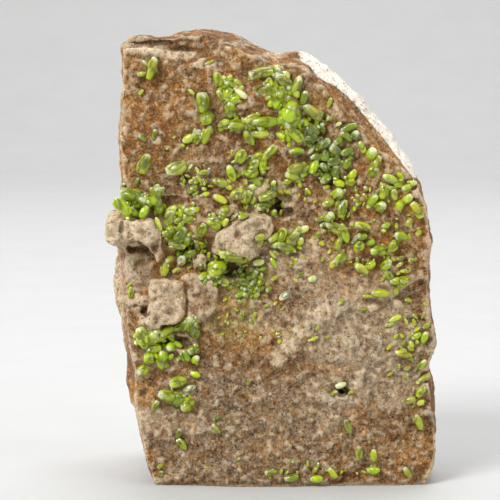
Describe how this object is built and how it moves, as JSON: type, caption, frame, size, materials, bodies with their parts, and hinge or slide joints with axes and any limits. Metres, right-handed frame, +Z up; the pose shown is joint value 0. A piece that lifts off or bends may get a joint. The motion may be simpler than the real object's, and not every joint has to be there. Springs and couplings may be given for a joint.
{
  "type": "pyromorphite crystal specimen on sandstone matrix",
  "caption": "Upright broken slab of brown sandstone, its front strewn with small green six-sided pyromorphite crystals, single and in clusters. Stands freely on a flat lower face.",
  "frame": {"origin": "on the plane of the flat lower face that the slab rests on, below the middle of its width and thickness", "axes": "+Z up, the face with the crystals looks along -Y, +X to the right seen from that side"},
  "size_m": [0.0504, 0.028, 0.0688],
  "materials": {
    "sandstone": "matte",
    "pyromorphite": "gloss"
  },
  "bodies": {
    "root": {"matrix": "sandstone", "crystals_bar_1": "pyromorphite", "crystals_bar_2": "pyromorphite", "crystals_centre_1": "pyromorphite", "crystals_centre_2": "pyromorphite", "crystals_centre_3": "pyromorphite", "crystals_centre_4": "pyromorphite", "crystals_centre_5": "pyromorphite", "crystals_centre_left_1": "pyromorphite", "crystals_centre_left_2": "pyromorphite", "crystals_centre_left_3": "pyromorphite", "crystals_centre_low_1": "pyromorphite", "crystals_centre_low_2": "pyromorphite", "crystals_centre_low_3": "pyromorphite", "crystals_centre_right_1": "pyromorphite", "crystals_centre_right_2": "pyromorphite", "crystals_crown_1": "pyromorphite", "crystals_crown_2": "pyromorphite", "crystals_crown_3": "pyromorphite", "crystals_crown_left_1": "pyromorphite", "crystals_crown_left_2": "pyromorphite", "crystals_dark_zone_1": "pyromorphite", "crystals_dark_zone_2": "pyromorphite", "crystals_dark_zone_3": "pyromorphite", "crystals_dark_zone_4": "pyromorphite", "crystals_far_right_1": "pyromorphite", "crystals_far_right_2": "pyromorphite", "crystals_far_right_3": "pyromorphite", "crystals_far_right_4": "pyromorphite", "crystals_far_right_5": "pyromorphite", "crystals_foot_left_1": "pyromorphite", "crystals_foot_left_2": "pyromorphite", "crystals_heart_1": "pyromorphite", "crystals_heart_2": "pyromorphite", "crystals_heart_3": "pyromorphite", "crystals_hollow_1": "pyromorphite", "crystals_ledge_left_1": "pyromorphite", "crystals_ledge_left_2": "pyromorphite", "crystals_ledge_left_3": "pyromorphite", "crystals_ledge_row_1": "pyromorphite", "crystals_left_mid_1": "pyromorphite", "crystals_left_mid_2": "pyromorphite", "crystals_left_pair_1": "pyromorphite", "crystals_low_left_1": "pyromorphite", "crystals_low_left_2": "pyromorphite", "crystals_low_left_3": "pyromorphite", "crystals_low_left_4": "pyromorphite", "crystals_low_left_5": "pyromorphite", "crystals_middle_1": "pyromorphite", "crystals_middle_2": "pyromorphite", "crystals_right_edge_1": "pyromorphite", "crystals_right_low_1": "pyromorphite", "crystals_right_low_2": "pyromorphite", "crystals_right_mid_1": "pyromorphite", "crystals_right_mid_2": "pyromorphite", "crystals_right_mid_3": "pyromorphite", "crystals_right_mid_4": "pyromorphite", "crystals_right_mid_5": "pyromorphite", "crystals_top_left_1": "pyromorphite", "crystals_upper_right_1": "pyromorphite"}
  },
  "joints": []
}
